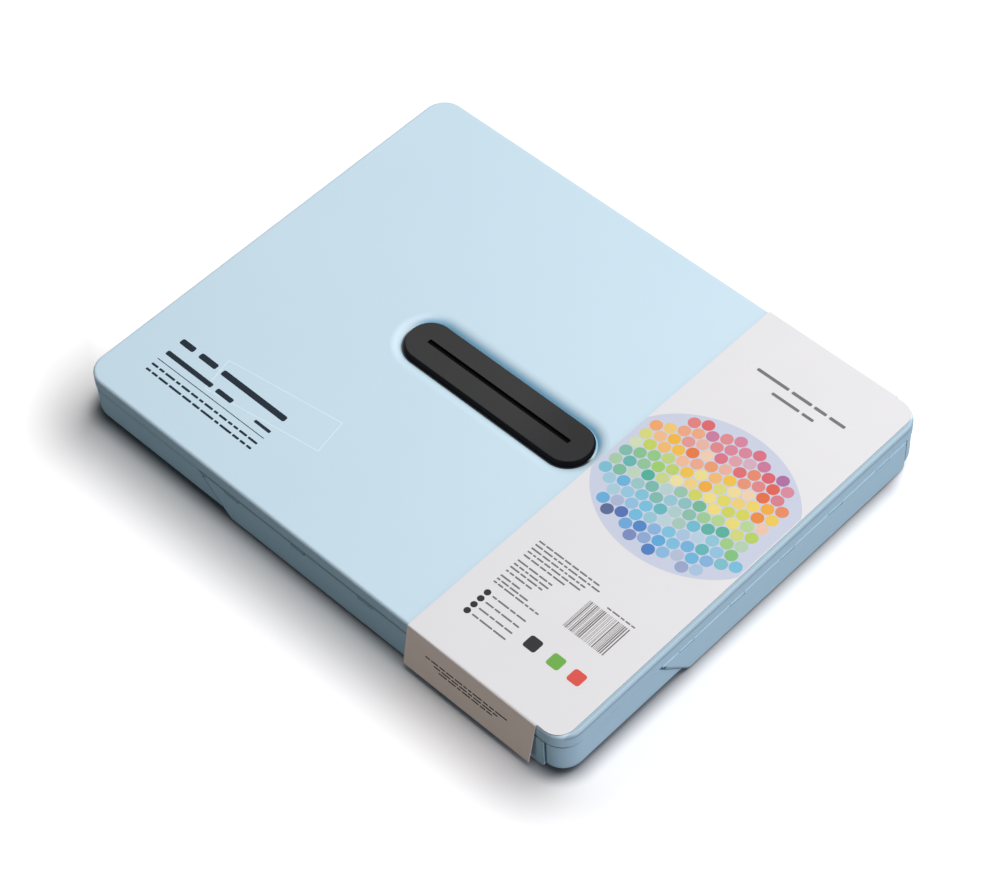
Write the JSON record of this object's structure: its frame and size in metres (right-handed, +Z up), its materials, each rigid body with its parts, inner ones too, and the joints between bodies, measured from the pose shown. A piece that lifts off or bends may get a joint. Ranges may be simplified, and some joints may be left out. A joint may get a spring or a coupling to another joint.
{
  "type": "gouache paint box",
  "caption": "Flat pale blue paint case with a lift-off lid, four side locks, a pull-up handle, sealed paint cups in a rack and a card sleeve.",
  "frame": {"origin": "on the floor under the middle of the case", "axes": "+X along the long side towards the sleeve, +Y from the front side to the back side, +Z up out of the lid"},
  "size_m": [0.4004, 0.3256, 0.0394],
  "materials": {
    "case_plastic": "satin pale blue",
    "rack_plastic": "white",
    "cup_plastic": "translucent white",
    "paint": "soft paint, one colour a cup",
    "film_plastic": "clear peel film",
    "gasket_rubber": "soft white",
    "grip_rubber": "satin black",
    "handle_plastic": "black",
    "fastener_steel": "plain",
    "sleeve_card": "coated white card"
  },
  "bodies": {
    "base": {"base_shell": "case_plastic", "cup_rack": "rack_plastic", "cups_row_1": "cup_plastic", "cups_row_2": "cup_plastic", "cups_row_3": "cup_plastic", "cups_row_4": "cup_plastic", "cups_row_5": "cup_plastic", "cups_row_6": "cup_plastic", "cups_row_7": "cup_plastic", "cups_row_8": "cup_plastic", "paints_row_1": "paint", "paints_row_2": "paint", "paints_row_3": "paint", "paints_row_4": "paint", "paints_row_5": "paint", "paints_row_6": "paint", "paints_row_7": "paint", "paints_row_8": "paint", "films_row_1": "film_plastic", "films_row_2": "film_plastic", "films_row_3": "film_plastic", "films_row_4": "film_plastic", "films_row_5": "film_plastic", "films_row_6": "film_plastic", "films_row_7": "film_plastic", "films_row_8": "film_plastic"},
    "lid": {"lid_shell": "case_plastic", "lid_gasket": "gasket_rubber", "hinge_pin_front": "fastener_steel", "hinge_pin_right": "fastener_steel", "hinge_pin_back": "fastener_steel", "hinge_pin_left": "fastener_steel"},
    "handle": {"handle_grip": "grip_rubber", "handle_core": "handle_plastic", "handle_stop_plate": "handle_plastic", "handle_screws": "fastener_steel"},
    "front_lock": {"lock_front": "case_plastic"},
    "right_lock": {"lock_right": "case_plastic"},
    "back_lock": {"lock_back": "case_plastic"},
    "left_lock": {"lock_left": "case_plastic"},
    "sleeve": {"sleeve_top": "sleeve_card"},
    "front_sleeve_flap": {"sleeve_flap_front": "sleeve_card"},
    "back_sleeve_flap": {"sleeve_flap_back": "sleeve_card"}
  },
  "joints": [
    {"name": "lid_lift", "type": "slide", "parent": "base", "child": "lid", "axis": [0, 0, 1], "range_m": [0, 0.12]},
    {"name": "handle_pull", "type": "slide", "parent": "lid", "child": "handle", "axis": [0, 0, 1], "range_m": [0, 0.01]},
    {"name": "front_lock_hinge", "type": "hinge", "parent": "lid", "child": "front_lock", "pos_m": [0.04, -0.15595, 0.0259], "axis": [-1, 0, 0], "range_deg": [0, 100]},
    {"name": "right_lock_hinge", "type": "hinge", "parent": "lid", "child": "right_lock", "pos_m": [0.19895, 0.03, 0.0259], "axis": [0, -1, 0], "range_deg": [0, 100]},
    {"name": "back_lock_hinge", "type": "hinge", "parent": "lid", "child": "back_lock", "pos_m": [-0.04, 0.15595, 0.0259], "axis": [1, 0, 0], "range_deg": [0, 100]},
    {"name": "left_lock_hinge", "type": "hinge", "parent": "lid", "child": "left_lock", "pos_m": [-0.19895, -0.03, 0.0259], "axis": [0, 1, 0], "range_deg": [0, 100]},
    {"name": "sleeve_slide", "type": "slide", "parent": "lid", "child": "sleeve", "axis": [1, 0, 0], "range_m": [0, 0.13]},
    {"name": "front_sleeve_fold", "type": "hinge", "parent": "sleeve", "child": "front_sleeve_flap", "pos_m": [0.13, -0.15718, 0.03793], "axis": [-1, 0, 0], "range_deg": [0, 76]},
    {"name": "back_sleeve_fold", "type": "hinge", "parent": "sleeve", "child": "back_sleeve_flap", "pos_m": [0.13, 0.15718, 0.03793], "axis": [1, 0, 0], "range_deg": [0, 76]}
  ],
  "couplings": [
    {"joint": "front_sleeve_fold", "follows": "front_lock_hinge", "ratio": 0.75},
    {"joint": "back_sleeve_fold", "follows": "back_lock_hinge", "ratio": 0.75}
  ]
}
